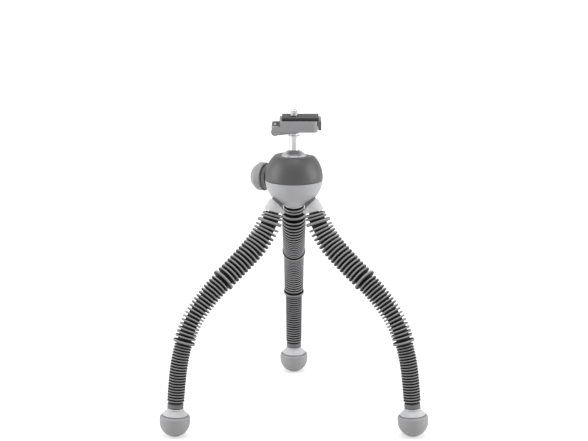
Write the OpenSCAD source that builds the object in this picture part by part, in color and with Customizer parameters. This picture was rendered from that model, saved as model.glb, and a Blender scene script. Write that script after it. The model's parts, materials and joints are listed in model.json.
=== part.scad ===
// Flexible leg tripod: a ball hub with a small ball head and a quick release clamp on top, and three
// ribbed legs below. Each leg is a chain of ball-and-socket links inside three ribbed rubber sleeves.
// The tripod stands on z = 0 with its bounding box centred on the origin, +X right and +Y to the rear.

/* [Hub] */
// Radius of the hub's ball-shaped housing
hub_r = 23.5; // [21:0.5:26]
// Wall of the two housing shells
hub_wall = 2.4; // [1.8:0.1:3]
// Height of the seam between the shells, below the hub's centre
seam_drop = 2.2; // [1.5:0.1:3]
// Height of the rim round the ball, above the hub's centre
rim_z = 18; // [17.8:0.1:19.5]
// Direction of the tilt notch, in degrees from +X
notch_az = 40; // [0:5:60]
// Height of the tilt notch's floor, above the hub's centre
notch_z = 16.4; // [16.2:0.1:17.5]
// Width of the tilt notch
notch_w = 18; // [14:0.2:19]
// Height of the tongue that joins the shells
tongue_h = 2.5; // [1.5:0.1:3]
// Wall of the tongue that joins the shells
tongue_t = 1.2; // [0.8:0.1:2]

/* [Ball head] */
// Radius of the ball
ball_r = 12.5; // [11.5:0.1:13]
// Height of the ball's centre above the hub's centre
ball_z = 10.5; // [9.5:0.1:11.5]
// Gap between the ball, its liner and the shell
ball_gap = 0.15; // [0.1:0.01:0.25]
// Radius of the stem on the ball
stem_r = 3.8; // [3.2:0.1:4]
// Length from the ball's centre to the top of the stem
stem_len = 26.5; // [24:0.5:32]
// Radius of the thin flange near the top of the stem
flange_r = 4.6; // [4.2:0.1:5.5]
// Thickness of that flange
flange_t = 0.9; // [0.6:0.1:2]
// Length of bare stem above that flange
flange_below = 2.4; // [0.8:0.1:3]
// Thickness of the friction liner round the ball
liner_t = 1.55; // [1.2:0.05:1.8]
// Height of the liner above the ball's centre
liner_up = 1.5; // [1:0.1:1.6]
// Depth of the liner below the ball's centre
liner_down = 5.6; // [5:0.1:6.2]
// Roll of the liner each way, in degrees, that its groove leaves room for
liner_roll = 16; // [10:1:16]

/* [Lock knob] */
// Direction of the knob, in degrees from +X
knob_az = 150; // [145:1:170]
// Distance of the knob's cap from the hub
knob_stand = 2.7; // [2.4:0.1:3.5]
// Radius of the knob's cap
knob_r = 11.6; // [11:0.1:13]
// Length of the knob's cap
knob_cap_h = 10.9; // [8:0.1:12]
// Rise of the dome on the end of the cap
knob_dome_h = 4.4; // [2:0.1:5]
// Radius of the knob's grip ring next to the cap
knob_grip_r = 10.8; // [10:0.1:11]
// Radius of the grip ring next to the hub
knob_grip_end_r = 8.8; // [8:0.1:9.5]
// Length of the grip ring, before the hub's hollow is cut from it
knob_grip_h = 4.3; // [3.5:0.1:5]
// Gap between the hub and the grip ring
knob_gap = 0.4; // [0.3:0.1:0.6]
// Radius of the lock screw
lock_r = 2; // [1.5:0.1:2.2]
// Radius of the collar that keeps the lock screw from sliding
lock_collar_r = 3.6; // [3:0.1:4]
// Thickness of that collar
lock_collar_t = 1.2; // [0.8:0.1:1.5]
// Width of the pressure pad that the screw drives against the ball
pad_w = 10; // [8:0.5:11]
// Length of the pressure pad along the screw
pad_l = 10.5; // [9:0.1:11]
// Depth of the pressure pad below the screw
pad_down = 5.6; // [4.5:0.1:5.8]
// Travel of the pressure pad away from the ball
pad_travel = 0.6; // [0.3:0.1:1]
// Thickness of the shelf and cheeks that guide the pad
guide_t = 2; // [1.5:0.1:2.2]

/* [Clamp] */
// Length of the clamp base to the right of the stem
clamp_right = 19; // [17:0.5:24]
// Length of the clamp base to the left of the stem
clamp_left = 11.2; // [10.5:0.1:12]
// Depth of the clamp base, front to back
clamp_d = 32; // [28:0.5:40]
// Thickness of the clamp base
clamp_t = 5; // [4.6:0.1:6]
// Thickness of the clamp's front and back rails, which the plate lies between
rail_t = 2; // [1.5:0.1:3]
// Corner radius at the right end of the clamp base
clamp_corner = 4; // [2:0.5:6]
// Height of the boss under the clamp base
boss_h = 2; // [1.8:0.1:3]
// Radius of that boss
boss_r = 6; // [5:0.1:6.3]
// Radius of the screw that holds the clamp on the stem
clamp_screw_r = 2.5; // [2:0.1:2.6]
// Radius of that screw's head
clamp_head_r = 4.2; // [3.6:0.1:4.4]
// Height of that screw's head
clamp_head_h = 1.5; // [1.2:0.1:1.6]
// Length of that screw in the stem
clamp_screw_l = 12; // [8:0.5:14]
// Running gap round turning and sliding pieces of the clamp
clamp_gap = 0.2; // [0.1:0.05:0.3]

/* [Cam lever] */
// Distance of the lever's pin from the stem axis
lever_x = 15; // [14.6:0.1:16]
// Height of the lever's pin above the underside of the clamp base
lever_up = 0.5; // [0.2:0.1:0.8]
// Radius of the lever's barrel
lever_r = 2.9; // [2.6:0.1:3]
// Throw of the cam
cam_throw = 0.5; // [0.3:0.05:0.6]
// Radius of the lever's pin
pin_r = 1.2; // [0.8:0.1:1.5]
// Cover over each end of the pin
pin_cover = 0.8; // [0.5:0.1:1]
// Width of each ear on the clamp base
ear_w = 2.4; // [2:0.1:3]
// Radius of an ear round the pin
ear_r = 3.3; // [3:0.1:3.4]
// Length of the slope from an ear to the underside of the clamp base
ear_run = 9; // [6:0.5:12]
// Length of the lever's arm from its pin
arm_l = 18; // [14:0.5:22]
// Width of the lever's arm
arm_w = 6.6; // [4:0.1:6.8]
// Thickness of the arm's tip
arm_tip_t = 0.9; // [0.6:0.1:1.6]
// Width of the sliding jaw
jaw_w = 14; // [8:0.5:18]
// Height of the sliding jaw
jaw_h = 3.3; // [2.4:0.1:3.4]
// Floor of the clamp base under the jaw
jaw_floor = 1.2; // [0.8:0.1:1.6]

/* [Plate] */
// Thickness of the quick release plate
plate_t = 3.5; // [2.5:0.1:5]
// Thickness of the plate's turned-down lip
lip_t = 2.5; // [1.5:0.1:3.5]
// Depth of the lip below the plate
lip_h = 3.7; // [2:0.1:4.5]
// Distance of the strap loop at the plate's left end from the stem axis
loop_x = 15.3; // [15:0.1:18]
// Outer radius of the loop
loop_r = 2; // [1.6:0.1:2.1]
// Radius of the loop's hole
loop_hole_r = 1.2; // [0.8:0.1:1.3]
// Width of the loop, front to back
loop_w = 3; // [2:0.1:5]
// Thickness of the rib that the jaw presses on
plate_rib_t = 2.2; // [1.5:0.1:2.2]
// Depth of that rib below the plate
plate_rib_h = 2.3; // [1.5:0.1:2.5]
// Thickness of the rubber pad on the plate
seat_t = 2.5; // [1:0.1:4]
// Margin of the plate round the rubber pad
seat_margin = 2; // [1:0.1:4]
// Radius of the camera screw, a 1/4 inch thread
stud_r = 3.175; // [3.175:0.001:4.763]
// Length of the camera screw above the pad
stud_l = 5; // [4:0.1:6]
// Radius of the camera screw's neck, which keeps it captive in the plate
stud_neck_r = 2.4; // [2:0.1:2.6]
// Radius of the camera screw's head
stud_head_r = 4.8; // [4.6:0.1:4.9]
// Height of the camera screw's head
stud_head_h = 1.6; // [1.2:0.1:1.7]

/* [Leg sockets] */
// Distance from the hub's axis at which a leg's axis leaves the hub
socket_exit_r = 14.2; // [12:0.1:15]
// Slope of a leg where it leaves the hub, in degrees below level
root_angle = 62; // [55:1:75]
// Length from the hub to a socket's end
socket_l = 8.8; // [7:0.1:10]
// Lean of a socket's end and of the ribs next to it, towards level, in degrees
root_lean_angle = 12; // [0:1:15]
// Length of leg over which that lean fades away
root_lean_run = 20; // [15:1:24]
// Radius of a socket's collar at its top
socket_top_r = 5.4; // [5:0.1:6.5]
// Radius of the collar at the leg
socket_end_r = 8.4; // [8:0.1:9]
// Height of the collar, before the hub's hollow is cut from it
collar_l = 10.5; // [9:0.1:12]
// Height of the straight band at the collar's end
collar_band = 2.2; // [1:0.1:3]
// Radius of the hollow in the collar's top
socket_cup_r = 21.8; // [21:0.1:23]
// Depth of that hollow's centre below the hub's centre
socket_cup_drop = 9; // [8:0.1:10]
// Step from the collar's outside in to the shoulder that fills the hollow
socket_step = 1.2; // [0.8:0.1:1.6]
// Radius of the threaded spigot that goes through the hub
spigot_r = 4; // [3:0.1:4.2]
// Height of the boss inside the hub that the nut pulls on
nut_boss_h = 0.7; // [0.4:0.1:1]
// Thickness of a leg nut
nut_t = 2.8; // [2:0.1:3]
// Radius of a leg nut across its corners
nut_r = 5.5; // [5:0.1:5.8]

/* [Leg links] */
// Length of the fixed stub from the socket to the first joint
stub_l = 24.3; // [22:0.1:30]
// Length of a link between two joints
link_l = 30; // [26:0.5:34]
// Length from the last joint to the centre of the foot
ankle_l = 22; // [21:0.5:28]
// Bends of the six joints in the photographed stance, in degrees, outward positive
rest_angles = [21, 3.5, -11.5, -22.5, -11.5, -3.5]; // [-25:0.5:25]
// Length over which the sleeve bends, each side of a joint
bend_run = 14; // [8:0.5:15]
// Largest bend of a joint each way, in degrees
swing = 40; // [20:1:40]
// Outer radius of a link
link_r = 4; // [3.8:0.1:4.2]
// Wall of a link's cup
cup_wall = 0.95; // [0.8:0.05:1.1]
// Gap between a ball and its cup
link_gap = 0.15; // [0.1:0.01:0.2]
// Reach of a cup past the centre of its ball
cup_lip = 1.6; // [1.4:0.1:1.8]
// Radius of a link's neck
neck_r = 1.15; // [0.9:0.05:1.2]

/* [Leg sleeves] */
// Gap between a link and its sleeve
sleeve_gap = 0.3; // [0.2:0.05:0.5]
// Bulge of the sleeve over a joint
joint_bulge = 0.2; // [0.1:0.1:0.5]
// Gap between the ends of two sleeves
split_gap = 0.1; // [0.05:0.01:0.3]
// Radii of the upper, middle and lower sleeve between their ribs
core_r = [6.4, 5.8, 5.2]; // [5:0.1:7]
// Radii of the first rib of the upper, middle and lower sleeve
rib_first_r = [10, 8.6, 7.3]; // [6.5:0.1:11]
// Radii of the last rib of the upper, middle and lower sleeve
rib_last_r = [9.4, 7.7, 7]; // [6:0.1:10]
// Thicknesses of the ribs of the upper, middle and lower sleeve
rib_t = [1.7, 1.45, 1]; // [0.6:0.05:1.8]
// Ribs on the upper, middle and lower sleeve, below their thick rings
rib_n = [16, 18, 21]; // [6:1:22]
// Radii of the thick rings on the upper, middle and lower sleeve
ring_r = [10.2, 10, 9]; // [7:0.1:12]
// Thicknesses of the thick rings on the upper, middle and lower sleeve
ring_t = [2.5, 3, 2]; // [1.5:0.1:4]
// Distance of the first thick ring from the socket
ring_run = 9.3; // [8:0.1:12]
// Radius of the ribs above the first thick ring
root_rib_r = 8.7; // [7:0.1:10]
// Ribs above the first thick ring
root_rib_n = 2; // [1:1:4]
// Radius of the collar at the end of the lower sleeve
collar_r = 6.5; // [5.8:0.1:7]
// Length of that collar
collar_h = 3.9; // [2.5:0.1:5]
// Rounding of that collar
collar_round = 1.2; // [0.5:0.1:1.5]

/* [Feet] */
// Radius of a rubber foot
foot_r = 12.3; // [11:0.1:14]
// Height of the foot's straight wall above its centre
foot_wall_h = 5.4; // [4:0.1:7]
// Chamfer at the top of that wall
foot_chamfer = 1.3; // [0.6:0.1:1.8]
// Radius of the foot cap where it meets the rubber
cap_r = 10.4; // [9.8:0.1:10.6]
// Radius of the foot cap at its top
cap_top_r = 6.8; // [6.2:0.1:8]
// Height of the foot cap above the rubber
cap_h = 6; // [4:0.1:8]
// Radius of the foot cap's plug in the rubber
plug_r = 9.2; // [7:0.1:9.6]
// Depth of the plug below the foot's centre
plug_down = 3; // [1:0.1:5]
// Depth of the last link's stud above the foot's centre
stud_stop = 3; // [1:0.1:4]

/* [Hidden] */
$fn = 96;
// Longer than any cut, and the depth that joined solids reach into each other
far = 60;
lap = 1;
// Spare room between pieces that pass or face each other
spare = 0.5;

legs = ["rear", "left", "right"];
leg_az = [90, 210, 330];
joints = len(rest_angles);
sections = ["upper", "middle", "lower"];

// Leg centreline in its own upright plane, as [distance from the hub's axis, height], hub's centre at 0
function unit(deg) = [cos(deg), sin(deg)];
function slope(k) = k == 0 ? -root_angle : slope(k - 1) + rest_angles[k - 1];
root = [socket_exit_r, -sqrt(hub_r * hub_r - socket_exit_r * socket_exit_r)] + socket_l * unit(-root_angle);
function place(k) = k == 0 ? root : place(k - 1) + (k == 1 ? stub_l : link_l) * unit(slope(k - 1));
function run_to(k) = k == 0 ? 0 : stub_l + (k - 1) * link_l;
foot_at = place(joints) + ankle_l * unit(slope(joints));

hub_z = foot_r - foot_at[1];
hub_y = -foot_at[0] / 4;

// Smooth centreline of the sleeves: an arc round each joint, as [distance, height, slope] at run t
function joint_near(t) = max(1, min(joints, round((t - stub_l) / link_l) + 1));
function arc_point(k, turn) =
    let (bend = rest_angles[k - 1], u = unit(slope(k - 1)), n = [-u[1], u[0]])
    let (start = place(k) - bend_run * u, radius = bend_run / tan(bend / 2))
    start + radius * (sin(turn) * u + (1 - cos(turn)) * n);
function bent(k, t) = abs(t - run_to(k)) < bend_run && abs(rest_angles[k - 1]) > 0.1;
function straight_point(k, t) =
    place(k) + (t - run_to(k)) * unit(slope(t < run_to(k) ? k - 1 : k));
function centre(t) =
    let (k = joint_near(t), turn = rest_angles[k - 1] * ((t - run_to(k)) / bend_run + 1) / 2)
    bent(k, t)
        ? concat(arc_point(k, turn), slope(k - 1) + turn)
        : concat(straight_point(k, t), slope(t < run_to(k) ? k - 1 : k));

// Where each sleeve starts and ends along the leg: the cuts lie in the middle of every second link
sleeve_end = run_to(joints) + ankle_l - foot_wall_h - cap_h;
sleeve_cuts = [0, run_to(2) + link_l / 2, run_to(4) + link_l / 2, sleeve_end];

// Lean of a rib at run t, and the run at which the upper sleeve's core starts clear of the leaning socket
function lean(t) = root_lean_angle * max(0, 1 - t / root_lean_run);
root_gap = core_r[0] * tan(root_lean_angle) + spare;

bore_r = link_r + sleeve_gap;
bore_over = 2 * cup_lip;
link_ball_r = link_r - cup_wall - link_gap;
cavity_r = link_r - cup_wall;
mouth_spare_angle = 3;
mouth_angle = swing + asin(neck_r / cavity_r) + mouth_spare_angle;
shoulder_z = (cup_lip + spare + link_r * sin(swing)) / cos(swing);
flare_h = 2.2;

liner_r = ball_r + ball_gap + liner_t;
groove_r = liner_r + ball_gap;
groove_top = liner_r * cos(acos(liner_up / liner_r) - liner_roll) + 2 * ball_gap;
seat_wall = 2.2;
seat_r = groove_r + seat_wall;
seat_drop = liner_down + spare;

inner_r = hub_r - hub_wall;
tongue_r = sqrt(inner_r * inner_r - pow(seam_drop + tongue_h, 2)) - ball_gap;
lock_gap = 0.3;
lock_collar_x = sqrt(pow(tongue_r - tongue_t, 2) - lock_collar_r * lock_collar_r) - lock_gap - lock_collar_t;
pad_x = lock_collar_x - lock_gap - pad_travel - pad_l;
knob_x = hub_r + knob_stand;
// The grip's hollow is centred on the knob's axis, below the hub's centre, and clears the hub all round
knob_hollow_r = sqrt(hub_r * hub_r - seam_drop * seam_drop + 2 * seam_drop * knob_grip_r) + knob_gap;
shelf_z = -seam_drop - pad_down - lock_gap;
// The pad's top stays under the liner's edge, which dips over the pad's corner when the liner rolls
pad_corner_y = liner_r * abs(sin(knob_az)) + pad_w / 2;
pad_up = ball_z + seam_drop - pad_corner_y * tan(liner_roll) - liner_down / cos(liner_roll) - spare;
cheek_z = -seam_drop - tongue_h - spare;

nut_seat = socket_l + hub_wall + nut_boss_h;
spigot_end = nut_seat + nut_t + spare;

// Heights in the head's own frame, from the ball's centre
clamp_z = stem_len + boss_h;
clamp_top = clamp_z + clamp_t;
plate_z = clamp_top + clamp_gap;
plate_top = plate_z + plate_t;
seat_top = plate_top + seat_t;
lever_z = clamp_z + lever_up;
jaw_z = clamp_z + jaw_floor;
jaw_out_x = -lever_x + cam_throw + sqrt(lever_r * lever_r - pow(jaw_z - lever_z, 2)) + clamp_gap;
plate_right = clamp_right + 2 * clamp_gap + lip_t;
plate_rib_x = -stud_head_r - 3 * clamp_gap;
jaw_in_x = plate_rib_x - plate_rib_t - clamp_gap;
recess_z = clamp_top - stud_head_h - 2 * clamp_gap;
arm_gap = 0.3;
plate_d = clamp_d - 2 * rail_t - 2 * clamp_gap;
plate_left = clamp_left + 2 * clamp_gap;
loop_y = -plate_d / 2 + loop_w / 2;
ear_left = spare - lever_x - ear_r;
ear_top = plate_top - 2 * loop_r - 2 * clamp_gap;
pin_l = clamp_d - 2 * pin_cover;

dark = [0.33, 0.33, 0.34];
light = [0.72, 0.72, 0.73];
pale = [0.88, 0.88, 0.89];
mid = [0.58, 0.58, 0.59];
black = [0.1, 0.1, 0.1];
metal = [0.8, 0.81, 0.82];
rubber = [0.45, 0.45, 0.46];

// Frames that the pieces are placed in
module at_hub() translate([0, hub_y, hub_z]) children();
module at_head() translate([0, hub_y, hub_z + ball_z]) children();
module at_knob() at_hub() rotate([0, 0, knob_az]) translate([0, 0, -seam_drop]) children();
module on_knob_axis() rotate([0, 90, 0]) children();
module on_leg(i) rotate([0, 0, leg_az[i]]) children();
module at_slope(p, deg) translate([p[0], 0, p[1]]) rotate([0, 90 - deg, 0]) children();
module on_link(k) at_slope(place(k), slope(k)) children();
module on_centre(t) let (c = centre(t)) at_slope(c, c[2] - lean(t)) children();
module on_socket() at_slope(place(0), slope(0) - root_lean_angle) children();

// A round slab between two heights
module slab(low, high, r = far) translate([0, 0, low]) cylinder(r = r, h = high - low);

// A bar along Y, centred on y = 0
module bar_y(r, l) rotate([90, 0, 0]) cylinder(r = r, h = l, center = true);

// A box from one corner to the opposite one
module box(low, high) translate(low) cube(high - low);

// The hole that the lock screw turns in
module lock_bore() translate([0, 0, -seam_drop]) rotate([0, 0, knob_az]) on_knob_axis()
    cylinder(r = lock_r + lock_gap, h = far);

module pad_guide() rotate([0, 0, knob_az]) difference() {
    box([pad_x, -pad_w / 2 - lock_gap - guide_t, shelf_z - guide_t],
        [far, pad_w / 2 + lock_gap + guide_t, cheek_z]);
    box([pad_x - lap, -pad_w / 2 - lock_gap, shelf_z], [inner_r - lap, pad_w / 2 + lock_gap, far]);
}

module hub_lower_shell() color(light) at_hub() difference() {
    union() {
        difference() {
            intersection() {
                sphere(r = hub_r);
                slab(-far, -seam_drop);
            }
            sphere(r = inner_r);
        }
        intersection() {
            sphere(r = hub_r - hub_wall / 2);
            union() {
                pad_guide();
                for (i = [0 : 2]) on_leg(i) on_link(0) slab(-nut_seat, -socket_l, nut_r + spare);
            }
        }
    }
    for (i = [0 : 2]) on_leg(i) on_link(0) {
        slab(-far / 2, 0, spigot_r);
        slab(-spigot_end, -nut_seat, nut_r + 2 * spare);
    }
    lock_bore();
}

module shell_tongue() difference() {
    union() {
        slab(-seam_drop - tongue_h, -seam_drop + tongue_t, tongue_r);
        intersection() {
            sphere(r = hub_r - hub_wall / 2);
            slab(-seam_drop, -seam_drop + tongue_t);
        }
    }
    slab(-far, far, tongue_r - tongue_t);
}

module hub_upper_shell() color(dark) at_hub() difference() {
    union() {
        difference() {
            intersection() {
                sphere(r = hub_r);
                slab(-seam_drop, rim_z);
            }
            sphere(r = inner_r);
        }
        intersection() {
            sphere(r = hub_r - hub_wall / 2);
            slab(ball_z - seat_drop, rim_z, seat_r);
        }
        shell_tongue();
    }
    translate([0, 0, ball_z]) {
        sphere(r = ball_r + ball_gap);
        intersection() {
            sphere(r = groove_r);
            slab(-far, groove_top);
        }
    }
    rotate([0, 0, notch_az]) box([0, -notch_w / 2, notch_z], [far, notch_w / 2, far]);
    lock_bore();
}

// The cup that holds the next link's ball, with its centre at the origin
module cup_hollow() {
    sphere(r = cavity_r);
    cylinder(r1 = 0, r2 = far * tan(mouth_angle), h = far);
}

// A socket's flared bell, or a smaller one inside it
module socket_bell(inset) on_socket() {
    slab(-collar_band, -inset, socket_end_r - inset);
    translate([0, 0, -collar_l])
        cylinder(r1 = socket_top_r - inset, r2 = socket_end_r - inset, h = collar_l - collar_band);
}

module leg_sockets() color(pale) at_hub() for (i = [0 : 2]) on_leg(i) union() {
    difference() {
        socket_bell(0);
        translate([0, 0, -socket_cup_drop]) sphere(r = socket_cup_r);
    }
    difference() {
        socket_bell(socket_step);
        sphere(r = hub_r);
    }
    on_link(0) slab(-spigot_end, -socket_l / 2, spigot_r);
    on_link(0) difference() {
        slab(-socket_l / 2, stub_l + cup_lip, link_r);
        translate([0, 0, stub_l]) cup_hollow();
    }
}

module leg_nuts() color(metal) at_hub() for (i = [0 : 2]) on_leg(i) on_link(0) difference() {
    translate([0, 0, -nut_seat - nut_t]) cylinder(r = nut_r, h = nut_t, $fn = 6);
    slab(-far / 2, 0, spigot_r);
}

module ball_liner() color(black) at_head() difference() {
    intersection() {
        sphere(r = liner_r);
        slab(-liner_down, liner_up);
    }
    sphere(r = ball_r + ball_gap);
}

module ball_stem() color(metal) at_head() difference() {
    union() {
        sphere(r = ball_r);
        slab(0, stem_len, stem_r);
        slab(stem_len - flange_below - flange_t, stem_len - flange_below, flange_r);
    }
    slab(stem_len - clamp_screw_l, far, clamp_screw_r);
}

module pressure_pad() color(black) difference() {
    at_knob() box([pad_x, -pad_w / 2, -pad_down], [pad_x + pad_l, pad_w / 2, pad_up]);
    at_head() sphere(r = ball_r + ball_gap);
    at_knob() on_knob_axis() slab(0, far, lock_r + ball_gap);
}

module lock_screw() color(metal) at_knob() on_knob_axis() {
    slab(pad_x + pad_travel, knob_x + knob_cap_h / 2, lock_r);
    slab(lock_collar_x, lock_collar_x + lock_collar_t, lock_collar_r);
}

module knob_grip() color(mid) at_knob() on_knob_axis() difference() {
    translate([0, 0, knob_x - knob_grip_h])
        cylinder(r1 = knob_grip_end_r, r2 = knob_grip_r, h = knob_grip_h);
    sphere(r = knob_hollow_r);
    slab(0, far, lock_r);
}

module knob_cap() color(light) at_knob() on_knob_axis() difference() {
    union() {
        slab(knob_x, knob_x + knob_cap_h - knob_dome_h, knob_r);
        translate([0, 0, knob_x + knob_cap_h - knob_dome_h])
            cylinder(r1 = knob_r, r2 = knob_r - knob_dome_h, h = knob_dome_h);
    }
    slab(0, knob_x + knob_cap_h / 2, lock_r);
}

module clamp_outline() {
    straight = clamp_right - clamp_corner;
    translate([-clamp_left, -clamp_d / 2]) square([clamp_left + straight, clamp_d]);
    translate([0, -clamp_d / 2 + clamp_corner]) square([clamp_right, clamp_d - 2 * clamp_corner]);
    for (side = [-1, 1]) translate([straight, side * (clamp_d / 2 - clamp_corner)]) circle(r = clamp_corner);
}

module clamp_ear(side) translate([0, side * (clamp_d - ear_w) / 2, 0]) {
    translate([-lever_x, 0, lever_z]) bar_y(ear_r, ear_w);
    translate([0, ear_w / 2, 0]) rotate([90, 0, 0]) linear_extrude(ear_w)
        polygon([[ear_left, lever_z], [-lever_x, lever_z - ear_r + spare], [ear_run - lever_x, clamp_z + lap],
                 [lap - clamp_left, ear_top], [ear_left, ear_top]]);
}

module clamp_base() color(mid) at_head() difference() {
    union() {
        translate([0, 0, clamp_z]) linear_extrude(plate_top - clamp_z) clamp_outline();
        slab(stem_len, clamp_z + lap, boss_r);
        clamp_ear(-1);
        clamp_ear(1);
    }
    slab(0, far, clamp_screw_r + clamp_gap);
    slab(recess_z - clamp_head_h - clamp_gap, far, clamp_head_r + clamp_gap);
    slab(recess_z, far, stud_head_r + 2 * clamp_gap);
    box([-far, -plate_d / 2 - clamp_gap, clamp_top], [far, plate_d / 2 + clamp_gap, far]);
    box([-far, -jaw_w / 2 - clamp_gap, jaw_z - clamp_gap],
        [plate_rib_x + 3 * clamp_gap, jaw_w / 2 + clamp_gap, far]);
    translate([-lever_x, 0, lever_z]) bar_y(pin_r, pin_l);
}

module clamp_screw() color(metal) at_head() difference() {
    union() {
        slab(stem_len - clamp_screw_l, recess_z - clamp_head_h, clamp_screw_r);
        slab(recess_z - clamp_head_h - clamp_gap / 2, recess_z - clamp_gap / 2, clamp_head_r);
    }
    translate([0, 0, recess_z - clamp_head_h / 2]) cylinder(r = clamp_screw_r, h = far, $fn = 6);
}

module clamp_jaw() color(metal) at_head()
    box([jaw_out_x, -jaw_w / 2, jaw_z], [jaw_in_x, jaw_w / 2, jaw_z + jaw_h]);

module cam_lever() color(mid) at_head() {
    barrel_l = clamp_d - 2 * ear_w - 2 * clamp_gap;
    arm_top = clamp_z - arm_gap - lever_z;
    translate([-lever_x, 0, lever_z]) difference() {
        union() {
            translate([cam_throw, 0, 0]) bar_y(lever_r, barrel_l);
            translate([0, arm_w - barrel_l / 2, 0]) rotate([90, 0, 0]) linear_extrude(arm_w)
                polygon([[0, -lever_r], [lever_r, -lever_r], [arm_l, arm_top - arm_tip_t],
                         [arm_l, arm_top], [0, arm_top]]);
        }
        bar_y(pin_r + clamp_gap / 2, far);
    }
}

module lever_pin() color(metal) at_head() translate([-lever_x, 0, lever_z]) bar_y(pin_r, pin_l);

module quick_plate() color(dark) at_head() difference() {
    union() {
        box([-plate_left, -plate_d / 2, plate_z], [plate_right, plate_d / 2, plate_top]);
        box([plate_right - lip_t, -plate_d / 2, plate_z - lip_h], [plate_right, plate_d / 2, plate_top]);
        box([plate_rib_x - plate_rib_t, -jaw_w / 2, plate_z - plate_rib_h],
            [plate_rib_x, jaw_w / 2, plate_top]);
        translate([-loop_x, loop_y, plate_top - loop_r]) bar_y(loop_r, loop_w);
        box([-loop_x, loop_y - loop_w / 2, plate_z], [-plate_left + lap, loop_y + loop_w / 2, plate_top]);
    }
    translate([-loop_x, loop_y, plate_top - loop_r]) bar_y(loop_hole_r, loop_w + lap);
    slab(0, far, stud_r + clamp_gap);
}

module plate_pad() color(rubber) at_head() difference() {
    box([seat_margin - plate_left, seat_margin - plate_d / 2, plate_top],
        [plate_right - seat_margin, plate_d / 2 - seat_margin, seat_top]);
    slab(0, far, stud_r + clamp_gap);
}

module camera_screw() color(metal) at_head() difference() {
    union() {
        slab(plate_z - stud_head_h - clamp_gap / 2, plate_z - clamp_gap / 2, stud_head_r);
        slab(plate_z - stud_head_h, seat_top + lap, stud_neck_r);
        slab(seat_top, seat_top + stud_l, stud_r);
    }
    box([-far, -stud_head_h / 2, 0], [far, stud_head_h / 2, plate_z - stud_head_h / 2]);
}

module link_top() {
    sphere(r = link_ball_r);
    slab(0, shoulder_z, neck_r);
    translate([0, 0, shoulder_z - flare_h]) cylinder(r1 = neck_r, r2 = link_r, h = flare_h);
}

module leg_link(i, k) color(black) at_hub() on_leg(i) on_link(k)
    if (k < joints) difference() {
        union() {
            link_top();
            slab(shoulder_z, link_l + cup_lip, link_r);
        }
        translate([0, 0, link_l]) cup_hollow();
    }
    else union() {
        link_top();
        slab(shoulder_z, ankle_l - stud_stop, link_r);
    }

// Rods along the links from run t0 to t1, each reaching past the joints that it meets
module link_rods(t0, t1, r, over) for (k = [0 : joints]) {
    low = max(t0, run_to(k));
    high = k == joints ? t1 : min(t1, run_to(k + 1));
    before = low > t0 ? over : 0;
    past = high < t1 ? over : 0;
    if (high > low) on_link(k) slab(low - run_to(k) - before, high - run_to(k) + past, r);
}

module joint_balls(t0, t1, r)
    for (k = [1 : joints]) if (run_to(k) > t0 && run_to(k) < t1) on_link(k) sphere(r = r);

module disc(t, r, h) on_centre(t) cylinder(r = r, h = h, center = true);

// Evenly spaced ribs between two runs, tapering from one radius to another
module ribs(n, t0, t1, r0, r1, h) for (i = [1 : n])
    disc(t0 + (t1 - t0) * i / (n + 1), n > 1 ? r0 + (r1 - r0) * (i - 1) / (n - 1) : r0, h);

module end_collar() on_link(joints) {
    z = sleeve_end - run_to(joints) - split_gap;
    slab(z - collar_h, z - collar_round, collar_r);
    translate([0, 0, z - collar_round])
        cylinder(r1 = collar_r, r2 = collar_r - collar_round, h = collar_round);
}

module sleeve(i, s) color(black) at_hub() on_leg(i) difference() {
    t0 = sleeve_cuts[s] + split_gap;
    t1 = sleeve_cuts[s + 1] - (s == 2 ? split_gap + collar_round : 0);
    ring_at = s == 0 ? ring_run : t0 + ring_t[s] / 2;
    ribs_end = s == 2 ? sleeve_end - collar_h : t1;
    union() {
        link_rods(s == 0 ? root_gap : ring_at, t1, core_r[s], 0);
        joint_balls(t0, t1, core_r[s] + joint_bulge);
        ribs(rib_n[s], ring_at + ring_t[s] / 2, ribs_end, rib_first_r[s], rib_last_r[s], rib_t[s]);
        disc(ring_at, ring_r[s], ring_t[s]);
        if (s == 0) ribs(root_rib_n, 0, ring_at - ring_t[s] / 2, root_rib_r, root_rib_r, rib_t[s]);
        if (s == 2) end_collar();
    }
    link_rods(t0 - lap, t1 + collar_round + lap, bore_r, bore_over);
}

module foot_cap(i) color(pale) at_hub() on_leg(i) on_link(joints) difference() {
    union() {
        translate([0, 0, ankle_l - foot_wall_h - cap_h])
            cylinder(r1 = cap_top_r, r2 = cap_r, h = cap_h);
        slab(ankle_l - foot_wall_h - lap, ankle_l + plug_down, plug_r);
    }
    slab(0, ankle_l - stud_stop, link_r);
}

module foot_pad(i) color(rubber) at_hub() on_leg(i) on_link(joints) translate([0, 0, ankle_l]) difference() {
    union() {
        intersection() {
            sphere(r = foot_r);
            slab(0, far);
        }
        slab(-foot_wall_h + foot_chamfer, 0, foot_r);
        translate([0, 0, -foot_wall_h]) cylinder(r1 = foot_r - foot_chamfer, r2 = foot_r, h = foot_chamfer);
    }
    slab(-far, plug_down, plug_r);
}

hub_lower_shell();
hub_upper_shell();
leg_sockets();
leg_nuts();
ball_liner();
ball_stem();
pressure_pad();
lock_screw();
knob_grip();
knob_cap();
clamp_base();
clamp_screw();
clamp_jaw();
cam_lever();
lever_pin();
quick_plate();
plate_pad();
camera_screw();
for (i = [0 : 2]) {
    for (k = [1 : joints]) leg_link(i, k);
    for (s = [0 : 2]) sleeve(i, s);
    foot_cap(i);
    foot_pad(i);
}
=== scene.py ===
"""Looks of the flexible leg tripod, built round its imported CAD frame.

Profiles and the sizes in the classes are in mm. Meshes, frames, lamps and the floor are in metres.
"""
import json
import logging
import math
from dataclasses import dataclass, field
from enum import Enum
from functools import partial
from typing import Callable, ClassVar, Sequence

import bmesh
import bpy
from mathutils import Matrix, Vector

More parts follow.
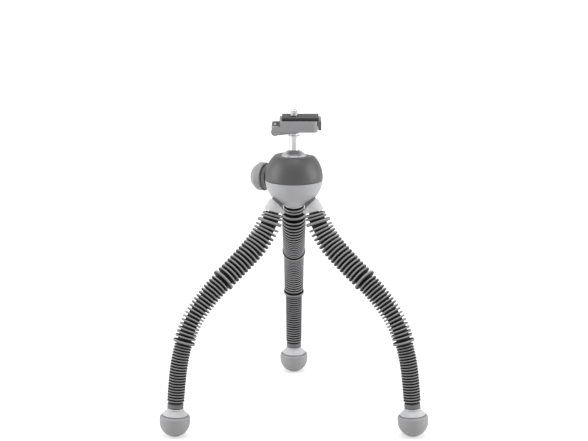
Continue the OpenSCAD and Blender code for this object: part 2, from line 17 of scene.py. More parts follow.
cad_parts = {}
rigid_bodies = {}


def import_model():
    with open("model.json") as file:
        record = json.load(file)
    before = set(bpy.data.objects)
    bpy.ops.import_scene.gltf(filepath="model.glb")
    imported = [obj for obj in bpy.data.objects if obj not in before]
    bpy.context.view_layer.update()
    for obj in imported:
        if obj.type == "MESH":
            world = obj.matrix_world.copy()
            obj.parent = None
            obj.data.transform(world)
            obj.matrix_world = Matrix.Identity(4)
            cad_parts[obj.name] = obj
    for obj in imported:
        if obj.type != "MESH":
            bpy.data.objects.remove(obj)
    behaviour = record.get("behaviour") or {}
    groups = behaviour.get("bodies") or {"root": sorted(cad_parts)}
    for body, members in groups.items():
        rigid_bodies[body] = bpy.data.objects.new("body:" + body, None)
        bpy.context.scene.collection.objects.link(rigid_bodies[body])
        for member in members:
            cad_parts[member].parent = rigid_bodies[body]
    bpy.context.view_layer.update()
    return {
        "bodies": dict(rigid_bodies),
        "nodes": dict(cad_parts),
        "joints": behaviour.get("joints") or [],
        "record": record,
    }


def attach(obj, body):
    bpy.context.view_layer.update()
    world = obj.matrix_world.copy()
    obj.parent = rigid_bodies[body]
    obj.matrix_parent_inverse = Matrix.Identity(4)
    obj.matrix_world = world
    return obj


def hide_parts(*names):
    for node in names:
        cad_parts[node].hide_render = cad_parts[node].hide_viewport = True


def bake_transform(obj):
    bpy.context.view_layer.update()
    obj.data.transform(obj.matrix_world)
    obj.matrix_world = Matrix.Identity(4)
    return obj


LOG = logging.getLogger("tripod")
MM = 0.001
QUARTER = math.pi / 2.0
WHITE = (1.0, 1.0, 1.0, 1.0)
BLUE_TRACE = 1.02

# Heights of the ball's centre and of the shells' seam over the hub's centre
BALL_Z = 10.5
SEAM_Z = -2.2

Mesh = bpy.types.Mesh
Node = bpy.types.Node
Object = bpy.types.Object
Socket = bpy.types.NodeSocket
Tree = bpy.types.NodeTree
Colour = tuple[float, float, float]
Corner = tuple[float, float, float]
Corners = tuple[Corner, ...]
Place = tuple[float, float, float]
Points = tuple[tuple[float, float], ...]
Profile = list[tuple[float, float]]
Shape = Callable[[float], Profile]
Inputs = dict[str | int, object]


class Leg(Enum):
    """The three legs, with the direction in which each stands, in degrees from +X."""

    REAR = 90.0
    LEFT = 210.0
    RIGHT = 330.0

    @property
    def label(self) -> str:
        """The leg's name as the CAD nodes have it."""
        return self.name.lower()


class Grain(Enum):
    """Kinds of surface that a finish can have."""

    MOULDED = "moulded"
    RUBBER = "rubber"
    PAINT = "paint"
    POLISHED = "polished"
    TURNED = "turned"


@dataclass(frozen=True)
class Finish:
    """One finish of the tripod.

    Args:
        slot: the record's material slot.
        colour: linear base colour.
        roughness: mean roughness.
        grain: the kind of surface.
        metallic: 1 for bare metal.
        edge_colour: colour of the painted highlight on the rib edges, where the finish has them.
        specular: level of its gloss.
    """

    slot: str
    colour: Colour
    roughness: float
    grain: Grain
    metallic: float = 0.0
    edge_colour: Colour | None = None
    specular: float = 0.5


def grey(value: float) -> Colour:
    """A neutral grey with a trace of blue."""
    return (value, value, value * BLUE_TRACE)


DARK_SHELL = Finish("dark_shell", grey(0.07), 0.42, Grain.MOULDED)
LIGHT_SHELL = Finish("light_shell", grey(0.43), 0.45, Grain.MOULDED)
PALE_PLASTIC = Finish("pale_plastic", grey(0.56), 0.45, Grain.MOULDED)
KNOB_LIGHT = Finish("light_shell", grey(0.3), 0.45, Grain.MOULDED)
KNOB_GREY = Finish("knob_grey", grey(0.19), 0.45, Grain.MOULDED)
CLAMP_GREY = Finish("clamp_grey", grey(0.3), 0.4, Grain.PAINT)
PLATE_DARK = Finish("plate_dark", grey(0.1), 0.4, Grain.PAINT)
BLACK_PLASTIC = Finish("black_plastic", grey(0.02), 0.5, Grain.MOULDED)
BRIGHT_METAL = Finish("bright_metal", grey(0.48), 0.4, Grain.POLISHED, metallic=1.0)
STEEL = Finish("steel", grey(0.56), 0.32, Grain.TURNED, metallic=1.0)
# The leg rubber's near-black base is painted shade in the gaps between the ribs; its pale edge
# colour is a painted highlight on the rib edges.
LEG_RUBBER = Finish("leg_rubber", grey(0.006), 0.6, Grain.RUBBER, edge_colour=grey(0.4),
                    specular=0.2)
COLLAR_RUBBER = Finish("leg_rubber", grey(0.15), 0.6, Grain.RUBBER)
FOOT_RUBBER = Finish("foot_rubber", grey(0.33), 0.62, Grain.RUBBER)
PAD_RUBBER = Finish("pad_rubber", grey(0.03), 0.7, Grain.RUBBER)


def feed(tree: Tree, node: Node, inputs: Inputs) -> None:
    """Feeds a node's inputs.

    Args:
        tree: the node's tree.
        node: the node.
        inputs: for each input a value, a socket, or a node whose first output is linked.
    """
    for key, value in inputs.items():
        source = value.outputs[0] if isinstance(value, Node) else value
        if isinstance(source, Socket):
            tree.links.new(source, node.inputs[key])
        else:
            node.inputs[key].default_value = source


def add_node(tree: Tree, kind: str, inputs: Inputs | None = None, **settings: object) -> Node:
    """Adds a node to a tree.

    Args:
        tree: the tree.
        kind: the node's type.
        inputs: what feeds its inputs.
        settings: its own properties, which are set first.

    Returns:
        The new node.
    """
    node = tree.nodes.new(kind)
    for key, value in settings.items():
        setattr(node, key, value)
    feed(tree, node, inputs or {})
    return node


def add_math(tree: Tree, operation: str, *values: object) -> Socket:
    """Adds a maths node and gives its output."""
    inputs = dict(enumerate(values))
    return add_node(tree, "ShaderNodeMath", inputs, operation=operation).outputs[0]


def new_tree(name: str, kind: str, inputs: dict[str, str], outputs: dict[str, str]) -> Tree:
    """Makes an empty node group.

    Args:
        name: the group's name.
        kind: the type of tree.
        inputs: the sort of each input socket, by its name.
        outputs: the same for the output sockets.

    Returns:
        The group.
    """
    tree = bpy.data.node_groups.new(name, kind)
    for in_out, sockets in (("INPUT", inputs), ("OUTPUT", outputs)):
        for label, sort in sockets.items():
            tree.interface.new_socket(name=label, in_out=in_out, socket_type=f"NodeSocket{sort}")
    return tree


class FinishBook:
    """Makes each finish's material once, with the shader groups that they share.

    GRAINS gives the scale of each grain, the strength of its bump and how much its colour mottles.
    """

    GRAINS: dict[Grain, tuple[float, float, float]] = {
        Grain.MOULDED: (2600.0, 0.05, 0.05),
        Grain.RUBBER: (1700.0, 0.1, 0.08),
        Grain.PAINT: (3400.0, 0.06, 0.05),
        Grain.POLISHED: (900.0, 0.01, 0.03),
        Grain.TURNED: (1500.0, 0.04, 0.08),
    }
    FINE_DETAIL = 3.0
    BROAD = {"Scale": 60.0, "Detail": 2.0}
    PATCHES = {"Scale": 140.0, "Detail": 4.0}
    NOISE_MEAN = 0.5
    MARKS = 0.25
    METAL_MARKS = 0.12
    BUMP_DEPTH = 0.1 * MM

    def __init__(self) -> None:
        """Builds the shared groups."""
        self.made: dict[Finish, bpy.types.Material] = {}
        self.grain_group = self._make_grain_group()
        self.mark_group = self._make_mark_group()

    def _make_grain_group(self) -> Tree:
        """Fine grain of a moulded, painted or rubber skin.

        Returns:
            The group, with a mottled colour and a height for a bump.
        """
        tree = new_tree(
            "skin_grain", "ShaderNodeTree",
            {"Vector": "Vector", "Colour": "Color", "Scale": "Float", "Mottle": "Float"},
            {"Colour": "Color", "Height": "Float"})
        start = add_node(tree, "NodeGroupInput").outputs
        fine = add_node(tree, "ShaderNodeTexNoise", {
            "Vector": start["Vector"], "Scale": start["Scale"], "Detail": self.FINE_DETAIL})
        broad = add_node(tree, "ShaderNodeTexNoise", {"Vector": start["Vector"], **self.BROAD})
        spread = add_node(tree, "ShaderNodeMapRange", {
            "Value": broad, "To Min": -1.0, "To Max": 1.0})
        share = add_math(tree, "MULTIPLY_ADD", spread, start["Mottle"], 1.0)
        tint = add_node(tree, "ShaderNodeVectorMath", {0: start["Colour"], "Scale": share},
                        operation="SCALE")
        add_node(tree, "NodeGroupOutput", {"Colour": tint, "Height": fine})
        return tree

    def _make_mark_group(self) -> Tree:
        """Faint handling marks: broad patches that are a little duller than the rest.

        Returns:
            The group, with a roughness that varies about its mean.
        """
        tree = new_tree(
            "handling_marks", "ShaderNodeTree",
            {"Vector": "Vector", "Roughness": "Float", "Amount": "Float"}, {"Roughness": "Float"})
        start = add_node(tree, "NodeGroupInput").outputs
        patches = add_node(tree, "ShaderNodeTexNoise", {"Vector": start["Vector"], **self.PATCHES})
        centred = add_math(tree, "SUBTRACT", patches, self.NOISE_MEAN)
        total = add_node(tree, "ShaderNodeMath", {
            0: centred, 1: start["Amount"], 2: start["Roughness"]},
            operation="MULTIPLY_ADD", use_clamp=True)
        add_node(tree, "NodeGroupOutput", {"Roughness": total})
        return tree

    def material(self, finish: Finish) -> bpy.types.Material:
        """The material of a finish, made on its first use.

        Args:
            finish: the finish wanted.

        Returns:
            Its material.
        """
        if finish in self.made:
            return self.made[finish]
        scale, bump_strength, mottle = self.GRAINS[finish.grain]
        mat = bpy.data.materials.new(finish.slot)
        mat.use_nodes = True
        tree = mat.node_tree
        spot = add_node(tree, "ShaderNodeTexCoord").outputs["Object"]
        grain = add_node(tree, "ShaderNodeGroup", {
            "Vector": spot, "Scale": scale, "Mottle": mottle, "Colour": (*finish.colour, 1.0)},
            node_tree=self.grain_group)
        marks = add_node(tree, "ShaderNodeGroup", {
            "Vector": spot, "Roughness": finish.roughness,
            "Amount": self.MARKS if finish.metallic == 0.0 else self.METAL_MARKS},
            node_tree=self.mark_group)
        bump = add_node(tree, "ShaderNodeBump", {
            "Strength": bump_strength, "Distance": self.BUMP_DEPTH,
            "Height": grain.outputs["Height"]})
        colour = grain.outputs["Colour"]
        # The edge attribute mixes in the painted highlight on the rib edges.
        if finish.edge_colour is not None:
            edge = add_node(tree, "ShaderNodeAttribute", attribute_name="edge")
            mix = add_node(tree, "ShaderNodeMix", {
                "Factor": edge.outputs["Fac"], "A": colour, "B": (*finish.edge_colour, 1.0)},
                data_type="RGBA")
            colour = mix.outputs["Result"]
        feed(tree, tree.nodes["Principled BSDF"], {
            "Base Color": colour, "Metallic": finish.metallic,
            "Roughness": marks, "Specular IOR Level": finish.specular, "Normal": bump})
        self.made[finish] = mat
        return mat


class Workbench:
    """Turns profiles and CAD solids into dressed pieces that ride on the frame."""

    SHARP_DEG = 35.0
    WELD = 0.002 * MM
    MERGE = 0.0005 * MM
    SLIVER = 0.0002 * MM
    FLAT_DEG = 1.0
    BEVEL_STEPS = 3
    BEVEL_DEG = 40.0
    BEVEL_SHARP_DEG = 30.0

    def __init__(self, frame: dict, finishes: FinishBook) -> None:
        """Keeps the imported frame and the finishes."""
        self.frame = frame
        self.finishes = finishes

    @staticmethod
    def shade(mesh: Mesh, sharp_deg: float) -> None:
        """Shades a mesh smooth; edges that turn by more than an angle stay sharp."""
        mesh.shade_smooth()
        mesh.set_sharp_from_angle(angle=math.radians(sharp_deg))

    def coat(self, mesh: Mesh, finish: Finish) -> None:
        """Gives a mesh one finish."""
        mesh.materials.clear()
        mesh.materials.append(self.finishes.material(finish))

    def piece(self, name: str, mesh: Mesh, finish: Finish) -> Object:
        """Makes an object of a finished mesh.

        Args:
            name: the piece's name.
            mesh: its mesh, in the row frame.
            finish: its finish.

        Returns:
            The new object.
        """
        obj = bpy.data.objects.new(name, mesh)
        bpy.context.scene.collection.objects.link(obj)
        self.coat(mesh, finish)
        self.shade(mesh, self.SHARP_DEG)
        return obj

    @staticmethod
    def settle(obj: Object, body: str, node: str) -> None:
        """Lets a piece ride on a body and stand for a CAD node.

        Args:
            obj: the piece.
            body: the body's name.
            node: the CAD node.
        """
        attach(obj, body)
        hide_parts(node)
        LOG.info("%s rides on %s, %d faces", obj.name, body, len(obj.data.polygons))

    def turn(self, name: str, profile: Profile | Shape, place: Matrix, finish: Finish, body: str,
             node: str, segments: int, closed: bool = False) -> None:
        """Turns a profile round the local Z axis into a piece that stands for a CAD node.

        Args:
            name: the piece's name.
            profile: radius and height points, or what gives them at an angle in radians.
            place: where the turned piece stands.
            finish: its finish.
            body: the body that it rides on.
            node: the CAD node.
            segments: steps round the axis.
            closed: whether the profile is a loop; otherwise its ends lie on the axis.
        """
        bm = bmesh.new()
        rows = []
        for i in range(segments):
            angle = 2.0 * math.pi * i / segments
            c, s = math.cos(angle), math.sin(angle)
            points = profile(angle) if callable(profile) else profile
            rows.append([bm.verts.new(place @ Vector((r * c * MM, r * s * MM, z * MM)))
                         for r, z in points])
        m = len(rows[0])
        for i, a in enumerate(rows):
            b = rows[(i + 1) % segments]
            for j in range(m if closed else m - 1):
                bm.faces.new((a[j], b[j], b[(j + 1) % m], a[(j + 1) % m]))
        bmesh.ops.remove_doubles(bm, verts=bm.verts, dist=self.MERGE)
        bmesh.ops.dissolve_degenerate(bm, dist=self.SLIVER, edges=bm.edges)
        bmesh.ops.recalc_face_normals(bm, faces=bm.faces)
        mesh = bpy.data.meshes.new(name)
        bm.to_mesh(mesh)
        bm.free()
        self.settle(self.piece(name, mesh, finish), body, node)

    def soften(self, node: str, finish: Finish, body: str, width: float) -> None:
        """Replaces a CAD node by a copy of itself with its edges broken.

        Args:
            node: the CAD node.
            finish: the finish of the copy.
            body: the body that it rides on.
            width: the bevel on its edges, in mm.
        """
        mesh = self.frame["nodes"][node].data.copy()
        bm = bmesh.new()
        bm.from_mesh(mesh)
        bmesh.ops.remove_doubles(bm, verts=bm.verts, dist=self.WELD)
        bmesh.ops.dissolve_limit(bm, angle_limit=math.radians(self.FLAT_DEG), verts=bm.verts,
                                 edges=bm.edges)
        bm.to_mesh(mesh)
        bm.free()
        obj = self.piece(f"{node}_dressed", mesh, finish)
        bevel = obj.modifiers.new("bevel", "BEVEL")
        bevel.width = width * MM
        bevel.segments = self.BEVEL_STEPS
        bevel.limit_method = "ANGLE"
        bevel.angle_limit = math.radians(self.BEVEL_DEG)
        self.bake(obj)
        self.shade(obj.data, self.BEVEL_SHARP_DEG)
        self.settle(obj, body, node)

    @staticmethod
    def bake(obj: Object) -> None:
        """Turns an object's modifiers into a plain mesh.

        Args:
            obj: the object, which loses its modifiers and gets the mesh.
        """
        graph = bpy.context.evaluated_depsgraph_get()
        mesh = bpy.data.meshes.new_from_object(
            obj.evaluated_get(graph), preserve_all_data_layers=True, depsgraph=graph)
        obj.modifiers.clear()
        obj.data = mesh

    def paint(self, node: str, finish: Finish) -> None:
        """Gives a CAD node that keeps its shape its finish."""
        self.coat(self.frame["nodes"][node].data, finish)
        LOG.info("%s keeps its CAD shape", node)


MAX_CUT = 0.49


def rounded(outline: Sequence[Corner], closed: bool = False, steps: int = 6) -> Profile:
    """Rounds the corners of a profile.

    Args:
        outline: radius, height and rounding of each corner, in mm.
        closed: whether the last corner joins the first.
        steps: points on each rounding.

    Returns:
        The points of the rounded profile.
    """
    out: Profile = []
    n = len(outline)
    for i, (x, y, r) in enumerate(outline):
        if r <= 0.0 or (not closed and i in (0, n - 1)):
            out.append((x, y))
            continue
        here = Vector((x, y))
        to_a = Vector(outline[i - 1][:2]) - here
        to_b = Vector(outline[(i + 1) % n][:2]) - here
        half = to_a.angle(to_b) / 2.0
        cut = min(r / math.tan(half), MAX_CUT * to_a.length, MAX_CUT * to_b.length)
        radius = cut * math.tan(half)
        side_a, side_b = to_a.normalized(), to_b.normalized()
        centre = here + (side_a + side_b).normalized() * (radius / math.sin(half))
        a, b = here + side_a * cut - centre, here + side_b * cut - centre
        for k in range(steps + 1):
            spoke = (a * (1 - k / steps) + b * (k / steps)).normalized() * radius
            out.append(tuple(centre + spoke))
    return out


def arc(wide: float, tall: float, start: float, stop: float, steps: int) -> Profile:
    """Points on an oval of two radii, between two angles over the level in radians."""
    angles = [start + (stop - start) * i / steps for i in range(steps + 1)]
    return [(wide * math.cos(a), tall * math.sin(a)) for a in angles]


def smooth_step(value: float) -> float:
    """A ramp from 0 to 1 with soft ends."""
    value = min(1.0, max(0.0, value))
    return value * value * (3.0 - 2.0 * value)


@dataclass(frozen=True)
class LegPath:
    """The centreline of a leg in its own upright plane, from the hub's centre, as in the CAD."""

    hub_r: float = 23.5
    exit_r: float = 14.2
    root_slope: float = 62.0
    socket_l: float = 8.8
    stub_l: float = 24.3
    link_l: float = 30.0
    ankle_l: float = 22.0
    bends: tuple[float, ...] = (21.0, 3.5, -11.5, -22.5, -11.5, -3.5)
    bend_run: float = 14.0
    foot_r: float = 12.3
    foot_top: float = 11.4
    root_lean: float = 12.0
    lean_run: float = 20.0
    box_share: float = 0.25

    @staticmethod
    def unit(deg: float) -> Vector:
        """A step of 1 along a slope."""
        return Vector((math.cos(math.radians(deg)), math.sin(math.radians(deg))))

    def slope(self, k: int) -> float:
        """Slope of link k, in degrees above level."""
        return -self.root_slope + sum(self.bends[:k])

    def run_to(self, k: int) -> float:
        """Run along the leg to joint k."""
        return 0.0 if k == 0 else self.stub_l + (k - 1) * self.link_l

    def joint(self, k: int) -> Vector:
        """Place of a joint in the leg's plane.

        Args:
            k: the joint's number; 0 is the socket's face.

        Returns:
            The point, in mm from the hub's centre.
        """
        drop = math.sqrt(self.hub_r ** 2 - self.exit_r ** 2)
        at = Vector((self.exit_r, -drop)) + self.unit(self.slope(0)) * self.socket_l
        for i in range(k):
            at += self.unit(self.slope(i)) * (self.run_to(i + 1) - self.run_to(i))
        return at

    @property
    def joints(self) -> int:
        """How many joints a leg has."""
        return len(self.bends)

    @property
    def foot(self) -> Vector:
        """Centre of the foot."""
        return self.joint(self.joints) + self.unit(self.slope(self.joints)) * self.ankle_l

    @property
    def sleeve_end(self) -> float:
        """Run at which the sleeves end."""
        return self.run_to(self.joints) + self.ankle_l - self.foot_top

    @property
    def hub_centre(self) -> Vector:
        """The hub's centre in the row frame, in metres, with the feet's box over the origin."""
        return Vector((0.0, -self.foot.x * self.box_share, self.foot_r - self.foot.y)) * MM

    def over_hub(self, z: float) -> Matrix:
        """An upright frame on the hub's axis, at a height over its centre."""
        return Matrix.Translation(self.hub_centre + Vector((0, 0, z * MM)))

    def centre(self, run: float) -> tuple[Vector, float]:
        """Smooth centreline of the sleeves.

        Args:
            run: distance along the leg from its socket, in mm.

        Returns:
            The point there and the slope in degrees.
        """
        k = max(1, min(self.joints, round((run - self.stub_l) / self.link_l) + 1))
        off = run - self.run_to(k)
        before = self.slope(k - 1)
        if abs(off) >= self.bend_run:
            slope = before if off < 0 else self.slope(k)
            return self.joint(k) + self.unit(slope) * off, slope
        turn = self.bends[k - 1] * (off / self.bend_run + 1.0) / 2.0
        u = self.unit(before)
        n = Vector((-u.y, u.x))
        radius = self.bend_run / math.tan(math.radians(self.bends[k - 1]) / 2.0)
        t = math.radians(turn)
        swing = (u * math.sin(t) + n * (1.0 - math.cos(t))) * radius
        return self.joint(k) - u * self.bend_run + swing, before + turn

    def place(self, leg: Leg, at: Vector, slope: float) -> Matrix:
        """A frame on a leg, with +Z down the leg.

        Args:
            leg: the leg.
            at: the point in the leg's plane, in mm.
            slope: the slope there, in degrees.

        Returns:
            The frame in the row, in metres.
        """
        return (self.over_hub(0.0) @ Matrix.Rotation(math.radians(leg.value), 4, "Z")
                @ Matrix.Translation((at.x * MM, 0.0, at.y * MM))
                @ Matrix.Rotation(math.radians(90.0 - slope), 4, "Y"))

    def on_run(self, leg: Leg, run: float) -> Matrix:
        """A frame on the smooth centreline."""
        return self.place(leg, *self.centre(run))

    def on_rib(self, leg: Leg, run: float) -> Matrix:
        """A frame on a rib, which leans towards level near the socket."""
        at, slope = self.centre(run)
        return self.place(leg, at, slope - self.root_lean * max(0.0, 1.0 - run / self.lean_run))

    def on_link(self, leg: Leg, k: int) -> Matrix:
        """A frame at joint k, along link k."""
        return self.place(leg, self.joint(k), self.slope(k))

    def on_socket(self, leg: Leg) -> Matrix:
        """A frame on the end of a leg's socket, which leans as the ribs next to it do."""
        return self.place(leg, self.joint(0), self.slope(0) - self.root_lean)


@dataclass(frozen=True)
class Rib:
    """One rib or ring of a sleeve: its run along the leg, radius and thickness."""

    run: float
    radius: float
    thick: float


class RibTree:
    """The Geometry Nodes tree that makes a ribbed sleeve from its centreline and rib points.

    EDGE_SHARE is the share of a rib's depth that gets a painted highlight, and UNDER_WEAR is
    how strong the painted highlight is on its lower side against its upper, as if lit from above.
    """

    SIZES = {"Core Radius": "Float", "Rib Radius": "Float", "Rib Thickness": "Float",
             "Rib Depth": "Float", "Rib Rounding": "Float", "Segments": "Int",
             "Rubber": "Material"}
    FILLET_STEPS = 3
    # Painted highlight on the rib edges, stronger on the upper side, as light from above would
    # make it.
    EDGE_SHARE = 0.1
    UNDER_WEAR = 0.3
    LEVEL = (1.0, 1.0, 0.0)

    def __init__(self) -> None:
        """Builds the tree."""
        self.tree = new_tree("ribbed_sleeve", "GeometryNodeTree",
                             {"Geometry": "Geometry", **self.SIZES}, {"Geometry": "Geometry"})
        self.ids: dict[str, str] = {item.name: item.identifier
                                    for item in self.tree.interface.items_tree
                                    if item.in_out == "INPUT"}
        self.add = partial(add_node, self.tree)
        self.maths = partial(add_math, self.tree)
        self.size = self.add("NodeGroupInput").outputs
        self._finish(self._core(), self._spread(self._worn(self._rib())))

    def _attribute(self, name: str, kind: str) -> Node:
        """A node that reads a named attribute."""
        return self.add("GeometryNodeInputNamedAttribute", {"Name": name}, data_type=kind)

    def _core(self) -> Node:
        """The smooth tube inside the ribs.

        Returns:
            The node that gives the tube.
        """
        line = self.add("GeometryNodeMeshToCurve", {"Mesh": self.size["Geometry"]})
        circle = self.add("GeometryNodeCurvePrimitiveCircle", {
            "Resolution": self.size["Segments"], "Radius": self.size["Core Radius"]})
        return self.add("GeometryNodeCurveToMesh", {
            "Curve": line, "Profile Curve": circle, "Fill Caps": True})

    def _rib(self) -> Node:
        """One flat ring with rounded edges.

        Returns:
            The node that gives the ring.
        """
        section = self.add("GeometryNodeCurvePrimitiveQuadrilateral", {
            "Width": self.size["Rib Depth"], "Height": self.size["Rib Thickness"]})
        soft = self.add("GeometryNodeFilletCurve", {
            "Curve": section, "Radius": self.size["Rib Rounding"], "Count": self.FILLET_STEPS},
            mode="POLY")
        middle = self.maths("MULTIPLY_ADD", self.size["Rib Depth"], -0.5, self.size["Rib Radius"])
        circle = self.add("GeometryNodeCurvePrimitiveCircle", {
            "Radius": middle, "Resolution": self.size["Segments"]})
        return self.add("GeometryNodeCurveToMesh", {"Curve": circle, "Profile Curve": soft})

    def _worn(self, ring: Node) -> Node:
        """Stores a rib's painted highlight: pale at the edge, and paler on the upper side, lit
        from above.

        Args:
            ring: the node that gives the bare ring.

        Returns:
            The node that gives the ring with its painted highlight.
        """
        thick, radius = self.size["Rib Thickness"], self.size["Rib Radius"]
        where = self.add("GeometryNodeInputPosition")
        flat = self.add("ShaderNodeVectorMath", {0: where, 1: self.LEVEL}, operation="MULTIPLY")
        reach = self.add("ShaderNodeVectorMath", {0: flat}, operation="LENGTH")
        inner = self.maths("MULTIPLY_ADD", self.size["Rib Depth"], -self.EDGE_SHARE, radius)
        edge = self.add("ShaderNodeMapRange", {
            "Value": reach.outputs["Value"], "From Min": inner, "From Max": radius},
            interpolation_type="SMOOTHSTEP")
        side = self.add("ShaderNodeMapRange", {
            "Value": self.add("ShaderNodeSeparateXYZ", {0: where}).outputs["Z"],
            "From Min": self.maths("MULTIPLY", thick, -0.5),
            "From Max": self.maths("MULTIPLY", thick, 0.5),
            "To Min": 1.0, "To Max": self.UNDER_WEAR}, interpolation_type="SMOOTHSTEP")
        # The stored edge value is a painted highlight: pale rib edges, paler on the hub side,
        # standing in for light from above.
        return self.add("GeometryNodeStoreNamedAttribute", {
            "Geometry": ring, "Name": "edge", "Value": self.maths("MULTIPLY", edge, side)},
            data_type="FLOAT", domain="POINT")

    def _spread(self, rib: Node) -> Node:
        """Puts the rib on every rib point, turned along the leg and scaled to its own size.

        Args:
            rib: the node that gives the rib.

        Returns:
            The node that gives the ribs, as instances.
        """
        points = self.add("GeometryNodeSeparateGeometry", {
            "Geometry": self.size["Geometry"],
            "Selection": self._attribute("is_rib", "BOOLEAN")}, domain="POINT")
        turn = self.add("FunctionNodeAlignRotationToVector", {
            "Vector": self._attribute("axis", "FLOAT_VECTOR")}, axis="Z")
        wide, thick = self._attribute("wide", "FLOAT"), self._attribute("thick", "FLOAT")
        scale = self.add("ShaderNodeCombineXYZ", {"X": wide, "Y": wide, "Z": thick})
        return self.add("GeometryNodeInstanceOnPoints", {
            "Points": points, "Instance": rib, "Rotation": turn, "Scale": scale})

    def _finish(self, *parts: Node) -> None:
        """Joins the parts into one rubber mesh.

        Args:
            parts: the nodes that give the parts.
        """
        both = self.add("GeometryNodeJoinGeometry")
        for part in parts:
            feed(self.tree, both, {"Geometry": part})
        real = self.add("GeometryNodeRealizeInstances", {"Geometry": both})
        smooth = self.add("GeometryNodeSetShadeSmooth", {"Geometry": real})
        rubber = self.add("GeometryNodeSetMaterial", {
            "Geometry": smooth, "Material": self.size["Rubber"]})
        self.add("NodeGroupOutput", {"Geometry": rubber})


